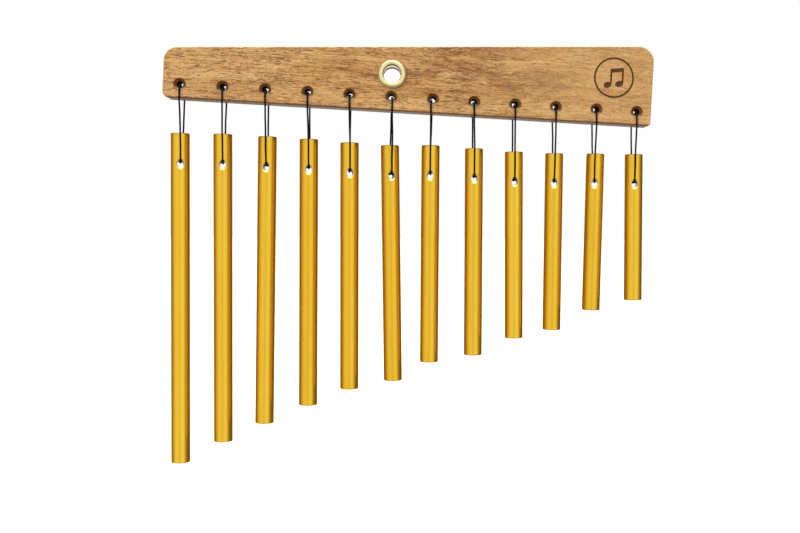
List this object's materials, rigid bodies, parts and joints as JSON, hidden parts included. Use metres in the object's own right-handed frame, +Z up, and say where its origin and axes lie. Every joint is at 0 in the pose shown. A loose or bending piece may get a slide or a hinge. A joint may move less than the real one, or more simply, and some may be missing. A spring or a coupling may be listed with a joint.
{
  "type": "bar chime rack",
  "caption": "Hand-held bar chimes: tuned round metal bars of falling length on cord loops under a wedge-shaped wooden rail with an eyelet.",
  "frame": {"origin": "centre of the eyelet's bore, at the middle of the rail's thickness", "axes": "+X along the rail towards the shortest bar, level as the rack hangs, +Y away from the player, +Z up"},
  "size_m": [0.2551, 0.0165, 0.2205],
  "materials": {
    "rail_wood": "satin lacquer over brown wood with fine dark pores along the rail",
    "eyelet_brass": "polished pale brass",
    "bar_gold": "satin gold anodising, bare metal inside the drilled holes",
    "cord_black": "twisted black thread, lightly waxed"
  },
  "bodies": {
    "rack": {"rail": "rail_wood", "eyelet": "eyelet_brass", "eyelet_washer": "eyelet_brass"},
    "cord_01_upper": {"cord_top_01": "cord_black", "knot_01": "cord_black"},
    "cord_01_lower": {"cord_loop_01": "cord_black"},
    "bar_01": {"bar_01": "bar_gold"},
    "cord_02_upper": {"cord_top_02": "cord_black", "knot_02": "cord_black"},
    "cord_02_lower": {"cord_loop_02": "cord_black"},
    "bar_02": {"bar_02": "bar_gold"},
    "cord_03_upper": {"cord_top_03": "cord_black", "knot_03": "cord_black"},
    "cord_03_lower": {"cord_loop_03": "cord_black"},
    "bar_03": {"bar_03": "bar_gold"},
    "cord_04_upper": {"cord_top_04": "cord_black", "knot_04": "cord_black"},
    "cord_04_lower": {"cord_loop_04": "cord_black"},
    "bar_04": {"bar_04": "bar_gold"},
    "cord_05_upper": {"cord_top_05": "cord_black", "knot_05": "cord_black"},
    "cord_05_lower": {"cord_loop_05": "cord_black"},
    "bar_05": {"bar_05": "bar_gold"},
    "cord_06_upper": {"cord_top_06": "cord_black", "knot_06": "cord_black"},
    "cord_06_lower": {"cord_loop_06": "cord_black"},
    "bar_06": {"bar_06": "bar_gold"},
    "cord_07_upper": {"cord_top_07": "cord_black", "knot_07": "cord_black"},
    "cord_07_lower": {"cord_loop_07": "cord_black"},
    "bar_07": {"bar_07": "bar_gold"},
    "cord_08_upper": {"cord_top_08": "cord_black", "knot_08": "cord_black"},
    "cord_08_lower": {"cord_loop_08": "cord_black"},
    "bar_08": {"bar_08": "bar_gold"},
    "cord_09_upper": {"cord_top_09": "cord_black", "knot_09": "cord_black"},
    "cord_09_lower": {"cord_loop_09": "cord_black"},
    "bar_09": {"bar_09": "bar_gold"},
    "cord_10_upper": {"cord_top_10": "cord_black", "knot_10": "cord_black"},
    "cord_10_lower": {"cord_loop_10": "cord_black"},
    "bar_10": {"bar_10": "bar_gold"},
    "cord_11_upper": {"cord_top_11": "cord_black", "knot_11": "cord_black"},
    "cord_11_lower": {"cord_loop_11": "cord_black"},
    "bar_11": {"bar_11": "bar_gold"},
    "cord_12_upper": {"cord_top_12": "cord_black", "knot_12": "cord_black"},
    "cord_12_lower": {"cord_loop_12": "cord_black"},
    "bar_12": {"bar_12": "bar_gold"}
  },
  "joints": [
    {"name": "cord_01_sway", "type": "hinge", "parent": "rack", "child": "cord_01_upper", "pos_m": [-0.10821, 0, -0.00723], "axis": [0, 1, 0], "range_deg": [-3.6, 30]},
    {"name": "cord_01_swing", "type": "hinge", "parent": "cord_01_upper", "child": "cord_01_lower", "pos_m": [-0.10838, 0, -0.01443], "axis": [0.9997, 0, -0.0244], "range_deg": [-30, 30], "deforming": ["cord_loop_01"]},
    {"name": "bar_01_tilt", "type": "hinge", "parent": "cord_01_lower", "child": "bar_01", "pos_m": [-0.10918, 0, -0.04702], "axis": [-0.2164, 0.9763, 0.0053], "range_deg": [-4.7, 30]},
    {"name": "cord_02_sway", "type": "hinge", "parent": "rack", "child": "cord_02_upper", "pos_m": [-0.08663, 0, -0.00815], "axis": [0, 1, 0], "range_deg": [-3.7, 3.7]},
    {"name": "cord_02_swing", "type": "hinge", "parent": "cord_02_upper", "child": "cord_02_lower", "pos_m": [-0.08678, 0, -0.01535], "axis": [0.9998, 0, -0.0209], "range_deg": [-30, 30], "deforming": ["cord_loop_02"]},
    {"name": "bar_02_tilt", "type": "hinge", "parent": "cord_02_lower", "child": "bar_02", "pos_m": [-0.08744, 0, -0.04715], "axis": [-0.1218, 0.9925, 0.0026], "range_deg": [-4.7, 4.7]},
    {"name": "cord_03_sway", "type": "hinge", "parent": "rack", "child": "cord_03_upper", "pos_m": [-0.06505, 0, -0.00908], "axis": [0, 1, 0], "range_deg": [-4.3, 3.7]},
    {"name": "cord_03_swing", "type": "hinge", "parent": "cord_03_upper", "child": "cord_03_lower", "pos_m": [-0.06499, 0, -0.01628], "axis": [1, 0, 0.0087], "range_deg": [-30, 30], "deforming": ["cord_loop_03"]},
    {"name": "bar_03_tilt", "type": "hinge", "parent": "cord_03_lower", "child": "bar_03", "pos_m": [-0.06471, 0, -0.04808], "axis": [0, 1, 0], "range_deg": [-5.7, 4.8]},
    {"name": "cord_04_sway", "type": "hinge", "parent": "rack", "child": "cord_04_upper", "pos_m": [-0.04347, 0, -0.01], "axis": [0, 1, 0], "range_deg": [-4.2, 4.4]},
    {"name": "cord_04_swing", "type": "hinge", "parent": "cord_04_upper", "child": "cord_04_lower", "pos_m": [-0.04342, 0, -0.0172], "axis": [1, 0, 0.007], "range_deg": [-30, 30], "deforming": ["cord_loop_04"]},
    {"name": "bar_04_tilt", "type": "hinge", "parent": "cord_04_lower", "child": "bar_04", "pos_m": [-0.04319, 0, -0.0491], "axis": [-0.061, 0.9981, -0.0004], "range_deg": [-5.6, 5.8]},
    {"name": "cord_05_sway", "type": "hinge", "parent": "rack", "child": "cord_05_upper", "pos_m": [-0.02189, 0, -0.01092], "axis": [0, 1, 0], "range_deg": [-4.9, 4.3]},
    {"name": "cord_05_swing", "type": "hinge", "parent": "cord_05_upper", "child": "cord_05_lower", "pos_m": [-0.02191, 0, -0.01812], "axis": [1, 0, -0.0035], "range_deg": [-30, 30], "deforming": ["cord_loop_05"]},
    {"name": "bar_05_tilt", "type": "hinge", "parent": "cord_05_lower", "child": "bar_05", "pos_m": [-0.02203, 0, -0.05062], "axis": [-0.0958, 0.9954, 0.0003], "range_deg": [-6.7, 5.8]},
    {"name": "cord_06_sway", "type": "hinge", "parent": "rack", "child": "cord_06_upper", "pos_m": [-0.00031, 0, -0.01185], "axis": [0, 1, 0], "range_deg": [-3.7, 5]},
    {"name": "cord_06_swing", "type": "hinge", "parent": "cord_06_upper", "child": "cord_06_lower", "pos_m": [-0.00038, 0, -0.01905], "axis": [0.9999, 0, -0.0105], "range_deg": [-30, 30], "deforming": ["cord_loop_06"]},
    {"name": "bar_06_tilt", "type": "hinge", "parent": "cord_06_lower", "child": "bar_06", "pos_m": [-0.00072, 0, -0.05175], "axis": [-0.165, 0.9863, 0.0017], "range_deg": [-5.2, 6.8]},
    {"name": "cord_07_sway", "type": "hinge", "parent": "rack", "child": "cord_07_upper", "pos_m": [0.02127, 0, -0.01277], "axis": [0, 1, 0], "range_deg": [-5.6, 3.8]},
    {"name": "cord_07_swing", "type": "hinge", "parent": "cord_07_upper", "child": "cord_07_lower", "pos_m": [0.02111, 0, -0.01997], "axis": [0.9997, 0, -0.0227], "range_deg": [-30, 30], "deforming": ["cord_loop_07"]},
    {"name": "bar_07_tilt", "type": "hinge", "parent": "cord_07_lower", "child": "bar_07", "pos_m": [0.0204, 0, -0.05146], "axis": [0.061, 0.9981, -0.0014], "range_deg": [-7.9, 5.3]},
    {"name": "cord_08_sway", "type": "hinge", "parent": "rack", "child": "cord_08_upper", "pos_m": [0.04285, 0, -0.01369], "axis": [0, 1, 0], "range_deg": [-5.4, 5.7]},
    {"name": "cord_08_swing", "type": "hinge", "parent": "cord_08_upper", "child": "cord_08_lower", "pos_m": [0.04295, 0, -0.02089], "axis": [0.9999, 0, 0.014], "range_deg": [-30, 30], "deforming": ["cord_loop_08"]},
    {"name": "bar_08_tilt", "type": "hinge", "parent": "cord_08_lower", "child": "bar_08", "pos_m": [0.0434, 0, -0.05279], "axis": [0, 1, 0], "range_deg": [-7.8, 8.1]},
    {"name": "cord_09_sway", "type": "hinge", "parent": "rack", "child": "cord_09_upper", "pos_m": [0.06443, 0, -0.01462], "axis": [0, 1, 0], "range_deg": [-4.9, 5.5]},
    {"name": "cord_09_swing", "type": "hinge", "parent": "cord_09_upper", "child": "cord_09_lower", "pos_m": [0.06448, 0, -0.02182], "axis": [1, 0, 0.007], "range_deg": [-30, 30], "deforming": ["cord_loop_09"]},
    {"name": "bar_09_tilt", "type": "hinge", "parent": "cord_09_lower", "child": "bar_09", "pos_m": [0.06471, 0, -0.05422], "axis": [0, 1, 0], "range_deg": [-7.3, 8.1]},
    {"name": "cord_10_sway", "type": "hinge", "parent": "rack", "child": "cord_10_upper", "pos_m": [0.08601, 0, -0.01554], "axis": [0, 1, 0], "range_deg": [-5.9, 5]},
    {"name": "cord_10_swing", "type": "hinge", "parent": "cord_10_upper", "child": "cord_10_lower", "pos_m": [0.08604, 0, -0.02274], "axis": [1, 0, 0.0035], "range_deg": [-30, 30], "deforming": ["cord_loop_10"]},
    {"name": "bar_10_tilt", "type": "hinge", "parent": "cord_10_lower", "child": "bar_10", "pos_m": [0.08615, 0, -0.05474], "axis": [0.0872, 0.9962, 0.0003], "range_deg": [-9.2, 7.5]},
    {"name": "cord_11_sway", "type": "hinge", "parent": "rack", "child": "cord_11_upper", "pos_m": [0.10759, 0, -0.01646], "axis": [0, 1, 0], "range_deg": [-7.1, 6]},
    {"name": "cord_11_swing", "type": "hinge", "parent": "cord_11_upper", "child": "cord_11_lower", "pos_m": [0.10769, 0, -0.02366], "axis": [0.9999, 0, 0.014], "range_deg": [-30, 30], "deforming": ["cord_loop_11"]},
    {"name": "bar_11_tilt", "type": "hinge", "parent": "cord_11_lower", "child": "bar_11", "pos_m": [0.10813, 0, -0.05466], "axis": [0.1822, 0.9833, 0.0025], "range_deg": [-11.3, 9.4]},
    {"name": "cord_12_sway", "type": "hinge", "parent": "rack", "child": "cord_12_upper", "pos_m": [0.12918, 0, -0.01739], "axis": [0, 1, 0], "range_deg": [-30, 7.2]},
    {"name": "cord_12_swing", "type": "hinge", "parent": "cord_12_upper", "child": "cord_12_lower", "pos_m": [0.1292, 0, -0.02459], "axis": [1, 0, 0.0035], "range_deg": [-30, 30], "deforming": ["cord_loop_12"]},
    {"name": "bar_12_tilt", "type": "hinge", "parent": "cord_12_lower", "child": "bar_12", "pos_m": [0.12931, 0, -0.05469], "axis": [0.0872, 0.9962, 0.0003], "range_deg": [-30, 11.7]}
  ]
}
